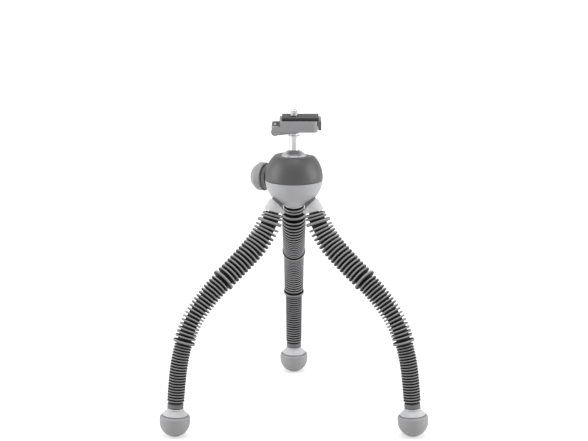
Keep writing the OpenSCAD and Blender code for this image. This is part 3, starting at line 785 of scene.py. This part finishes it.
@dataclass
class Legs:
    """The three legs: ribbed sleeves curved round the joints, with the feet at their ends.

    The tuples of three give the upper, middle and lower sleeve. model_rib is the radius and the
    thickness of the rib that the tree makes and then scales.
    foot_cap, foot_wall and collar are corners: radius, height and rounding.
    """

    bench: Workbench
    path: LegPath
    foot_cap: Corners = (
        (0, -9, 0), (4.9, -11.3, 0), (6.7, -11.3, 0.35), (6.9, -10.5, 0.25), (6.3, -10.2, 0.2),
        (6.6, -9.7, 0.4), (10.3, -6.3, 0.3), (10.3, -5.9, 0.15), (9.4, -5.8, 0), (9.0, 3, 0),
        (0, 3, 0))
    foot_wall: Corners = (
        (9.2, 2.0, 0), (9.2, -5.0, 0), (10.4, -5.1, 0.2), (11.0, -5.2, 0.4), (12.3, -4.0, 1.6),
        (12.3, -0.6, 0))
    collar: Corners = (
        (4.4, 6.7, 0), (6.5, 6.7, 0.5), (6.5, 10.5, 1.4), (4.4, 10.5, 0))
    core_r: tuple[float, ...] = (6.4, 5.6, 5.2)
    rib_first_r: tuple[float, ...] = (10.0, 8.8, 7.3)
    rib_last_r: tuple[float, ...] = (9.4, 8.5, 7.0)
    rib_t: tuple[float, ...] = (1.7, 1.45, 1.0)
    rib_n: tuple[int, ...] = (16, 18, 21)
    ring_r: tuple[float, ...] = (10.2, 10.0, 9.0)
    ring_t: tuple[float, ...] = (2.5, 2.3, 2.0)
    ring_run: float = 9.3
    root_gap: float = 1.9
    root_rib_r: float = 8.7
    root_rib_n: int = 2
    collar_h: float = 3.9
    collar_n: int = 64
    foot_steps: int = 18
    foot_n: int = 96
    sections: tuple[str, ...] = ("upper", "middle", "lower")
    model_rib: tuple[float, float] = (9.0, 1.45)
    rib_depth: float = 4.6
    rib_rounding: float = 0.45
    segments: int = 48
    line_step: float = 1.2
    line_min: int = 8
    blend_inset: float = 1.0
    tree: RibTree = field(default_factory=RibTree)

    def cuts(self) -> list[float]:
        """Runs at which the sleeves are cut for the joints.

        Returns:
            The start, the middle of each link between two joints, and the end, in mm.
        """
        middles = [self.path.run_to(k) + self.path.link_l / 2.0
                   for k in range(1, self.path.joints)]
        return [self.root_gap, *middles, self.path.sleeve_end]

    def ribs(self, s: int) -> list[Rib]:
        """All ribs and rings of one sleeve.

        Args:
            s: 0 for the upper, 1 for the middle and 2 for the lower sleeve.

        Returns:
            The ribs from the hub down.
        """
        cuts = self.cuts()
        start, stop = cuts[2 * s], cuts[2 * s + 2]
        ring_at = self.ring_run if s == 0 else start + self.ring_t[s] / 2.0
        stop = stop - self.collar_h if s == 2 else stop
        out = []
        if s == 0:
            gap = (ring_at - self.ring_t[s] / 2.0) / (self.root_rib_n + 1)
            out += [Rib(gap * (i + 1), self.root_rib_r, self.rib_t[0])
                    for i in range(self.root_rib_n)]
        out.append(Rib(ring_at, self.ring_r[s], self.ring_t[s]))
        first, n = ring_at + self.ring_t[s] / 2.0, self.rib_n[s]
        for i in range(1, n + 1):
            share = (i - 1) / (n - 1)
            radius = self.rib_first_r[s] + (self.rib_last_r[s] - self.rib_first_r[s]) * share
            out.append(Rib(first + (stop - first) * i / (n + 1), radius, self.rib_t[s]))
        return out

    def section_mesh(self, leg: Leg, start: float, stop: float,
                     ribs: Sequence[Rib]) -> Mesh:
        """The centreline and the rib points that the tree works on.

        Args:
            leg: the leg.
            start: run at the section's start.
            stop: run at its end.
            ribs: the ribs in between.

        Returns:
            A mesh of one line and loose points with the ribs' attributes.
        """
        steps = max(self.line_min, round((stop - start) / self.line_step))
        line = [self.path.on_run(leg, start + (stop - start) * i / steps)
                for i in range(steps + 1)]
        both = line + [self.path.on_rib(leg, rib.run) for rib in ribs]
        mesh = bpy.data.meshes.new("section")
        mesh.from_pydata([m.translation for m in both], [(i, i + 1) for i in range(steps)], [])
        blank = [0.0] * len(line)
        radius, thick = self.model_rib
        values = {
            "wide": ("FLOAT", "value", blank + [rib.radius / radius for rib in ribs]),
            "thick": ("FLOAT", "value", blank + [rib.thick / thick for rib in ribs]),
            "is_rib": ("BOOLEAN", "value", [False] * len(line) + [True] * len(ribs)),
            "axis": ("FLOAT_VECTOR", "vector", [c for m in both for c in m.col[2][:3]]),
        }
        for name, (kind, key, data) in values.items():
            mesh.attributes.new(name, kind, "POINT").data.foreach_set(key, data)
        return mesh

    def sleeve(self, leg: Leg, part: int) -> None:
        """Makes one curved length of sleeve round a joint.

        Args:
            leg: the leg.
            part: 0 to 5, counted from the hub.
        """
        s, cuts = part // 2, self.cuts()
        start, stop = cuts[part], cuts[part + 1]
        ribs = [rib for rib in self.ribs(s) if start <= rib.run < stop]
        obj = bpy.data.objects.new(f"{leg.label}_sleeve_{part + 1}",
                                   self.section_mesh(leg, start, stop, ribs))
        bpy.context.scene.collection.objects.link(obj)
        mod = obj.modifiers.new("ribs", "NODES")
        mod.node_group = self.tree.tree
        sizes = {"Core Radius": self.core_r[s] * MM, "Rib Radius": self.model_rib[0] * MM,
                 "Rib Thickness": self.model_rib[1] * MM, "Rib Depth": self.rib_depth * MM,
                 "Rib Rounding": self.rib_rounding * MM, "Segments": self.segments,
                 "Rubber": self.bench.finishes.material(LEG_RUBBER)}
        for name, value in sizes.items():
            mod[self.tree.ids[name]] = value
        self.bench.bake(obj)
        self.path.on_run(leg, start + self.blend_inset).translation
        self.path.on_run(leg, stop - self.blend_inset).translation
        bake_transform(obj)
        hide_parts(f"{leg.label}_{self.sections[s]}_sleeve")

    def ankle(self, leg: Leg) -> None:
        """Makes the collar at the end of the lower sleeve, the foot cap and the rubber foot.

        Args:
            leg: the leg.
        """
        body, radius = f"{leg.label}_segment_{self.path.joints}", self.path.foot_r
        place = self.path.on_link(leg, self.path.joints)
        self.bench.turn(f"{leg.label}_end_collar", rounded(self.collar, closed=True), place,
                        COLLAR_RUBBER, body, f"{leg.label}_lower_sleeve", self.collar_n,
                        closed=True)
        place = place @ Matrix.Translation((0, 0, self.path.ankle_l * MM))
        self.bench.turn(f"{leg.label}_foot_cap_dressed", rounded(self.foot_cap), place,
                        PALE_PLASTIC, body, f"{leg.label}_foot_cap", self.foot_n)
        ball = arc(radius, radius, 0.0, QUARTER, self.foot_steps)[:-1]
        rubber = [(0.0, self.foot_wall[0][1]), *rounded(self.foot_wall), *ball, (0.0, radius)]
        self.bench.turn(f"{leg.label}_foot_rubber", rubber, place, FOOT_RUBBER, body,
                        f"{leg.label}_foot_pad", self.foot_n)

    def build(self) -> None:
        """Makes all three legs."""
        for leg in Leg:
            for part in range(self.path.joints):
                self.sleeve(leg, part)
            self.ankle(leg)
            for k in range(1, self.path.joints + 1):
                self.bench.paint(f"{leg.label}_link_{k}", BLACK_PLASTIC)


@dataclass
class Hub:
    """The ball-shaped housing: its two shells and the three leg sockets."""

    bench: Workbench
    path: LegPath
    under: Points = ((14.4, 4.2), (16.4, 4.0), (20.4, 3.0))
    neck: Corners = (
        (0, -14.8, 0), (4.0, -14.8, 0.3), (4.0, 6.0, 0.3), (0, 6.0, 0))
    hair: float = 0.001
    wall: float = 2.4
    seam_gap: float = 0.12
    seam_inset: float = 0.25
    edge: float = 0.35
    rim_z: float = 18.0
    rim_round: float = 0.9
    rim_w: float = 2.6
    stretch: float = 1.035
    low_stretch: float = 1.055
    notch_z: float = 16.4
    notch_az: float = 40.0
    notch_half_deg: float = 36.0
    notch_ramp_deg: float = 4.0
    seat_r: float = 12.7
    seat_edge: float = 0.3
    seat_n: int = 12
    skin_steps: int = 40
    low_steps: int = 48
    hollow_steps: int = 16
    upper_n: int = 240
    lower_n: int = 160
    socket_top_r: float = 5.4
    socket_end_r: float = 8.4
    collar_l: float = 10.5
    collar_band: float = 2.2
    collar_bore: float = 4.4
    collar_edge: float = 0.5
    collar_floor: float = 0.4
    collar_dip: float = 1.0
    collar_rounds: tuple[float, ...] = (0.3, 0.4, 0.9, 0.3)
    collar_steps: int = 5
    collar_n: int = 128
    cup_r: float = 21.8
    cup_drop: float = 9.0
    bell_low: float = -1.3
    halvings: int = 40
    shoulder_step: float = 1.2
    shoulder_bore: float = 3.6
    shoulder_end: float = -0.8
    shoulder_sink: float = 0.4
    shoulder_n: int = 96
    neck_n: int = 48

    def rim_at(self, angle: float) -> float:
        """Height of the rim, which drops into the notch at the right rear.

        Args:
            angle: angle round the hub's axis, in radians.

        Returns:
            The height over the hub's centre, in mm.
        """
        off = abs((math.degrees(angle) - self.notch_az + 180.0) % 360.0 - 180.0)
        return self.notch_z + (self.rim_z - self.notch_z) * smooth_step(
            (off - self.notch_half_deg) / self.notch_ramp_deg)

    def upper_profile(self, angle: float) -> Profile:
        """Outline of the upper shell, from the seam over the rim down into the ball's seat.

        Args:
            angle: angle round the hub's axis, in radians.

        Returns:
            Radius and height points, as a loop.
        """
        r, rim, low = self.path.hub_r, self.rim_at(angle), SEAM_Z + self.seam_gap
        tall = r * self.stretch
        skin = arc(r, tall, math.asin((low + self.edge) / tall),
                   math.asin((rim - self.rim_round / 2.0) / tall), self.skin_steps)
        out = r * math.sqrt(1.0 - (rim / tall) ** 2)
        lip = rounded([(*skin[-1], 0), (out, rim, self.rim_round), (out - self.rim_w, rim, 0)])
        bowl = []
        for i in range(self.seat_n):
            top = rim - self.seat_edge
            z = top + (BALL_Z - rim + self.seat_edge) * i / (self.seat_n - 1)
            bowl.append((math.sqrt(self.seat_r ** 2 - (z - BALL_Z) ** 2), z))
        return [(r - self.seam_inset, low), *skin[1:-1], *lip,
                (bowl[0][0] + self.seat_edge, rim), *bowl, *self.under, (self.under[-1][0], low)]

    def lower_profile(self) -> Profile:
        """Outline of the lower shell, from its inside over the seam's edge to the bottom.

        Returns:
            Radius and height points; both ends lie on the axis.
        """
        r, high = self.path.hub_r, SEAM_Z - self.seam_gap
        tall, inner = r * self.low_stretch, r - self.wall
        skin = arc(r, tall, math.asin((high - self.edge) / tall), -QUARTER, self.low_steps)
        hollow = arc(inner, inner, -QUARTER, math.asin(high / inner), self.hollow_steps)
        return [(0.0, -inner), *hollow[1:], (r - self.seam_inset, high), *skin[:-1], (0.0, -tall)]

    def bell_r(self, z: float, inset: float) -> float:
        """Radius of a socket's bell at a height over its end, or of a smaller bell inside it."""
        share = max(0.0, -z - self.collar_band) / (self.collar_l - self.collar_band)
        return self.socket_end_r + (self.socket_top_r - self.socket_end_r) * share - inset

    def bell_top(self, place: Matrix, angle: float, inset: float, drop: float,
                 radius: float) -> float:
        """Height at which a bell comes out of a ball under the hub's centre.

        Args:
            place: the socket's frame.
            angle: angle round the socket's axis.
            inset: how far the bell lies inside the collar's outside.
            drop: depth of the ball's centre below the hub's centre.
            radius: radius of the ball.

        Returns:
            The height along the socket's axis, in mm.
        """
        centre = self.path.hub_centre - Vector((0, 0, drop * MM))
        c, s = math.cos(angle), math.sin(angle)
        low, high = -self.collar_l, self.bell_low
        for _ in range(self.halvings):
            mid = (low + high) / 2.0
            r = self.bell_r(mid, inset)
            p = place @ Vector((r * c * MM, r * s * MM, mid * MM)) - centre
            low, high = (mid, high) if p.length < radius * MM else (low, mid)
        return high

    def collar_profile(self, place: Matrix, angle: float) -> Profile:
        """Outline of a socket's pale collar, whose hollow top follows the hub at a distance.

        Args:
            place: the socket's frame.
            angle: angle round the socket's axis, in radians.

        Returns:
            Radius and height points, as a loop.
        """
        end, step, edge = self.socket_end_r, self.shoulder_step, self.collar_edge
        foot, side, brim, top = self.collar_rounds
        outer = self.bell_top(place, angle, 0.0, self.cup_drop, self.cup_r)
        inner = self.bell_top(place, angle, step, self.cup_drop, self.cup_r)
        band = max(outer, -self.collar_band)
        return rounded([
            (self.collar_bore, 0.0, 0), (end - edge, 0.0, foot), (end, -edge, side),
            (end, band, brim), (self.bell_r(outer, 0.0), outer - self.hair, top),
            (self.bell_r(inner, step), inner, 0),
            (self.collar_bore, min(inner + self.collar_dip, -self.collar_floor), 0)],
            closed=True, steps=self.collar_steps)

    def shoulder_profile(self, place: Matrix, angle: float) -> Profile:
        """Outline of the grey shoulder between the hub and a collar, a darker piece that paints
        the shade of the band there.

        Args:
            place: the socket's frame.
            angle: angle round the socket's axis, in radians.

        Returns:
            Radius and height points, as a loop.
        """
        step, bore, end = self.shoulder_step, self.shoulder_bore, self.shoulder_end
        top = self.bell_top(place, angle, step, 0.0, self.path.hub_r - self.shoulder_sink)
        low = max(top, -self.collar_band)
        return [(bore, end), (self.socket_end_r - step, end),
                (self.bell_r(low, step), low + self.hair), (self.bell_r(top, step), top),
                (bore, top + 2.0 * self.hair)]

    def build(self) -> None:
        """Makes the shells, the sockets and the necks behind them."""
        turn, middle = self.bench.turn, self.path.over_hub(0.0)
        turn("upper_shell", self.upper_profile, middle, DARK_SHELL, "hub", "hub_upper_shell",
             self.upper_n, closed=True)
        turn("lower_shell", self.lower_profile(), middle, LIGHT_SHELL, "hub", "hub_lower_shell",
             self.lower_n)
        for leg in Leg:
            at = self.path.on_socket(leg)
            turn(f"{leg.label}_socket", partial(self.collar_profile, at), at, PALE_PLASTIC, "hub",
                 "leg_sockets", self.collar_n, closed=True)
            # The grey shoulder is painted shade: a darker piece where the band between the hub and
            # the collar lies in shadow.
            turn(f"{leg.label}_socket_shoulder", partial(self.shoulder_profile, at), at, KNOB_GREY,
                 "hub", "leg_sockets", self.shoulder_n, closed=True)
            # The neck is black plastic, dark so that the gap between the collar and the hub reads
            # as painted shade.
            turn(f"{leg.label}_socket_neck", rounded(self.neck), self.path.on_link(leg, 0),
                 BLACK_PLASTIC, "hub", "leg_sockets", self.neck_n)
        self.bench.paint("leg_nuts", STEEL)


@dataclass
class BallHead:
    """The ball with its stem, its friction liner, the pressure pad and the lock knob.

    stem, grip and cap are corners: radius, height over the ball's or the hub's centre, and
    rounding.
    """

    bench: Workbench
    path: LegPath
    stem: Corners = (
        (3.8, 23.2, 0.1), (4.6, 23.2, 0.2), (4.6, 24.1, 0.2), (3.8, 24.1, 0.1), (3.8, 26.5, 0.2),
        (2.6, 26.5, 0.1), (2.6, 22.5, 0), (0, 22.5, 0))
    grip: Corners = (
        (10.5, 25.3, 0.4), (9.0, 25.4, 0), (9.0, 26.18, 0), (2.1, 26.18, 0))
    cap: Corners = (
        (0, 26.25, 0), (11.1, 26.25, 0.3), (11.6, 26.8, 0.4), (11.6, 31.8, 2.0), (8.2, 36.5, 2.2),
        (4.0, 37.1, 3.0), (0, 37.1, 0))
    ball_r: float = 12.5
    ball_steps: int = 60
    ball_n: int = 128
    fillet_r: float = 4.9
    fillet_h: float = 0.5
    fillet_round: float = 0.9
    knob_az: float = 150.0
    knob_n: int = 96
    hollow_r: float = 24.79
    hollow_first: float = 2.1
    hollow_step: float = 0.69
    hollow_n: int = 11

    def stem_profile(self) -> Profile:
        """Outline of the ball, its fillet, the stem and the flange.

        Returns:
            Radius and height points; both ends lie on the axis.
        """
        start = math.asin(self.fillet_r / self.ball_r)
        ball = arc(self.ball_r, self.ball_r, -QUARTER, QUARTER - start, self.ball_steps)
        root = (self.stem[0][0], self.ball_r * math.cos(start) + self.fillet_h, self.fillet_round)
        rest = rounded([(*ball[-1], 0), root, *self.stem])
        return [(0.0, -self.ball_r), *ball[1:], *rest[1:]]

    def grip_profile(self) -> Profile:
        """Outline of the knob's grip ring, hollow where it faces the hub.

        Returns:
            Radius and height points, as a loop.
        """
        radii = [self.hollow_first + self.hollow_step * i for i in range(self.hollow_n)]
        hollow = [(r, math.sqrt(self.hollow_r ** 2 - r * r), 0) for r in radii]
        return rounded([*hollow, *self.grip], closed=True)

    def build(self) -> None:
        """Makes the ball and the knob, and paints what is inside."""
        turn = self.bench.turn
        turn("ball_and_stem", self.stem_profile(), self.path.over_hub(BALL_Z), BRIGHT_METAL,
             "ball", "ball_stem", self.ball_n)
        axis = (self.path.over_hub(0.0) @ Matrix.Rotation(math.radians(self.knob_az), 4, "Z")
                @ Matrix.Translation((0, 0, SEAM_Z * MM)) @ Matrix.Rotation(QUARTER, 4, "Y"))
        turn("knob_ring", self.grip_profile(), axis, KNOB_GREY, "knob", "knob_grip", self.knob_n,
             closed=True)
        turn("knob_dome", rounded(self.cap), axis, KNOB_LIGHT, "knob", "knob_cap", self.knob_n)
        self.bench.paint("lock_screw", STEEL)
        self.bench.paint("ball_liner", BLACK_PLASTIC)
        self.bench.paint("pressure_pad", BLACK_PLASTIC)


@dataclass
class PlateClamp:
    """The quick release clamp, its cam lever and the plate with the camera screw.

    SOFTENED gives the finish, the body and the bevel of each node that keeps its CAD shape.
    lead_in and lead_out say where the thread starts before an end and how long it runs up.
    """

    SOFTENED: ClassVar[dict[str, tuple[Finish, str, float]]] = {
        "clamp_base": (CLAMP_GREY, "clamp", 0.45),
        "cam_lever": (CLAMP_GREY, "lever", 0.35),
        "quick_plate": (PLATE_DARK, "plate", 0.4),
        "plate_pad": (PAD_RUBBER, "plate", 0.4),
        "lever_pin": (STEEL, "clamp", 0.2),
    }

    bench: Workbench
    path: LegPath
    head: Points = (
        (0, 32.0), (4.5, 32.0), (4.8, 32.3), (4.8, 33.3), (4.5, 33.6), (2.4, 33.6), (2.4, 39.4))
    seat_top: float = 39.7
    stud_r: float = 3.175
    stud_root_r: float = 2.55
    stud_l: float = 5.0
    stud_n: int = 64
    pitch: float = 1.27
    root_flat: float = 0.12
    flank: float = 0.76
    lead_in: tuple[float, float] = (0.2, 0.8)
    lead_out: tuple[float, float] = (0.1, 0.9)
    thread_steps: int = 60

    def stud_profile(self, angle: float) -> Profile:
        """Outline of the camera screw with its rolled thread.

        Args:
            angle: angle round the screw's axis, in radians.

        Returns:
            Radius and height points; both ends lie on the axis.
        """
        low, high = self.seat_top, self.seat_top + self.stud_l
        out: Profile = [*self.head]
        for i in range(self.thread_steps + 1):
            z = low + (high - low) * i / self.thread_steps
            wave = abs(((z / self.pitch - angle / (2.0 * math.pi)) % 1.0) * 2.0 - 1.0)
            lead = min(1.0, (z - low + self.lead_in[0]) / self.lead_in[1],
                       (high - z + self.lead_out[0]) / self.lead_out[1])
            crest = min(1.0, max(0.0, (wave - self.root_flat) / self.flank))
            out.append((self.stud_root_r + (self.stud_r - self.stud_root_r) * crest * lead, z))
        return [*out, (0, high)]

    def build(self) -> None:
        """Dresses the clamp, the lever and the plate."""
        for node, (finish, body, width) in self.SOFTENED.items():
            self.bench.soften(node, finish, body, width)
        self.bench.turn("threaded_stud", self.stud_profile, self.path.over_hub(BALL_Z), STEEL,
                        "screw", "camera_screw", self.stud_n)
        self.bench.paint("clamp_screw", STEEL)
        self.bench.paint("clamp_jaw", STEEL)


@dataclass
class Studio:
    """The pale floor, the soft lights and the camera at the photographed angle.

    LAMPS gives the place, the width and height, and the power in watts of each soft box.
    """

    LAMPS: ClassVar[dict[str, tuple[Place, tuple[float, float], float]]] = {
        "left_box": ((-1.15, -0.2, 0.5), (0.9, 1.1), 10.0),
        "right_box": ((1.15, -0.2, 0.5), (0.9, 1.1), 10.0),
        "top_box": ((0.0, 0.0, 1.25), (1.1, 1.1), 9.0),
    }
    FLOOR: ClassVar[Inputs] = {"Base Color": (0.8, 0.8, 0.8, 1.0), "Roughness": 0.9,
                               "Specular IOR Level": 0.0, "Emission Color": WHITE}
    FADE: ClassVar[Inputs] = {"From Min": 0.15, "From Max": 1.6, "To Min": 0.45, "To Max": 1.0}
    WORLD: ClassVar[Inputs] = {"To Min": 0.35, "To Max": 1.0}

    path: LegPath
    width_px: float = 588.0
    focal_px: float = 1555.4
    sensor: float = 36.0
    back: float = 1237.4
    height: float = 445.6
    pitch_deg: float = 12.78
    centre_px: float = 293.9
    clip: tuple[float, float] = (0.01, 30.0)
    floor_half: float = 6.0

    def camera(self) -> None:
        """Places the camera."""
        cam = bpy.data.cameras.new("camera")
        cam.sensor_width = self.sensor
        cam.lens = self.sensor * self.focal_px / self.width_px
        cam.shift_x = (self.width_px / 2.0 - self.centre_px) / self.width_px
        cam.clip_start, cam.clip_end = self.clip
        obj = bpy.data.objects.new("camera", cam)
        obj.location = (0.0, self.path.hub_centre.y - self.back * MM, self.height * MM)
        obj.rotation_euler = (math.radians(90.0 - self.pitch_deg), 0.0, 0.0)
        bpy.context.scene.collection.objects.link(obj)
        bpy.context.scene.camera = obj

    def lamps(self) -> None:
        """Adds the soft boxes, which face the hub."""
        for name, (at, size, watts) in self.LAMPS.items():
            light = bpy.data.lights.new(name, "AREA")
            light.shape = "RECTANGLE"
            light.size, light.size_y = size
            light.energy = watts
            obj = bpy.data.objects.new(name, light)
            obj.location = at
            aim = self.path.hub_centre - Vector(at)
            obj.rotation_euler = aim.to_track_quat("-Z", "Y").to_euler()
            bpy.context.scene.collection.objects.link(obj)

    @staticmethod
    def seen_by_eye(tree: Tree) -> Socket:
        """A mask of the rays that show the background: camera, glossy and transmission.

        Args:
            tree: the tree that it is made in.

        Returns:
            A socket that is 1 for these rays.
        """
        rays = add_node(tree, "ShaderNodeLightPath").outputs
        seen = add_math(tree, "MAXIMUM", rays["Is Camera Ray"], rays["Is Glossy Ray"])
        return add_math(tree, "MAXIMUM", seen, rays["Is Transmission Ray"])

    def floor(self) -> None:
        """A pale floor that keeps faint shadows."""
        mesh, half = bpy.data.meshes.new("floor"), self.floor_half
        mesh.from_pydata([(-half, -half, 0), (half, -half, 0), (half, half, 0), (-half, half, 0)],
                         [], [(0, 1, 2, 3)])
        floor = bpy.data.objects.new("floor", mesh)
        bpy.context.scene.collection.objects.link(floor)
        mat = bpy.data.materials.new("floor")
        mat.use_nodes = True
        tree = mat.node_tree
        spot = add_node(tree, "ShaderNodeTexCoord").outputs["Object"]
        reach = add_node(tree, "ShaderNodeVectorMath", {0: spot}, operation="LENGTH")
        fade = add_node(tree, "ShaderNodeMapRange", {"Value": reach.outputs["Value"], **self.FADE})
        glow = add_math(tree, "MULTIPLY", self.seen_by_eye(tree), fade)
        feed(tree, tree.nodes["Principled BSDF"], {**self.FLOOR, "Emission Strength": glow})
        mesh.materials.append(mat)

    def world(self) -> None:
        """A world that is white to the eye and lights the object less."""
        world = bpy.data.worlds.new("studio")
        bpy.context.scene.world = world
        world.use_nodes = True
        tree = world.node_tree
        strength = add_node(tree, "ShaderNodeMapRange", {
            "Value": self.seen_by_eye(tree), **self.WORLD})
        feed(tree, tree.nodes["Background"], {"Color": WHITE, "Strength": strength})

    def build(self) -> None:
        """Sets the stage."""
        bpy.context.scene.view_settings.view_transform = "Standard"
        self.camera()
        self.floor()
        self.world()
        self.lamps()


def main() -> None:
    """Builds the tripod's looks round the frame."""
    logging.basicConfig(level=logging.INFO, format="%(name)s: %(message)s")
    for obj in list(bpy.data.objects):
        bpy.data.objects.remove(obj)
    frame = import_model()
    bench, path = Workbench(frame, FinishBook()), LegPath()
    Studio(path).build()
    Hub(bench, path).build()
    BallHead(bench, path).build()
    PlateClamp(bench, path).build()
    Legs(bench, path).build()


if __name__ == "__main__":
    main()
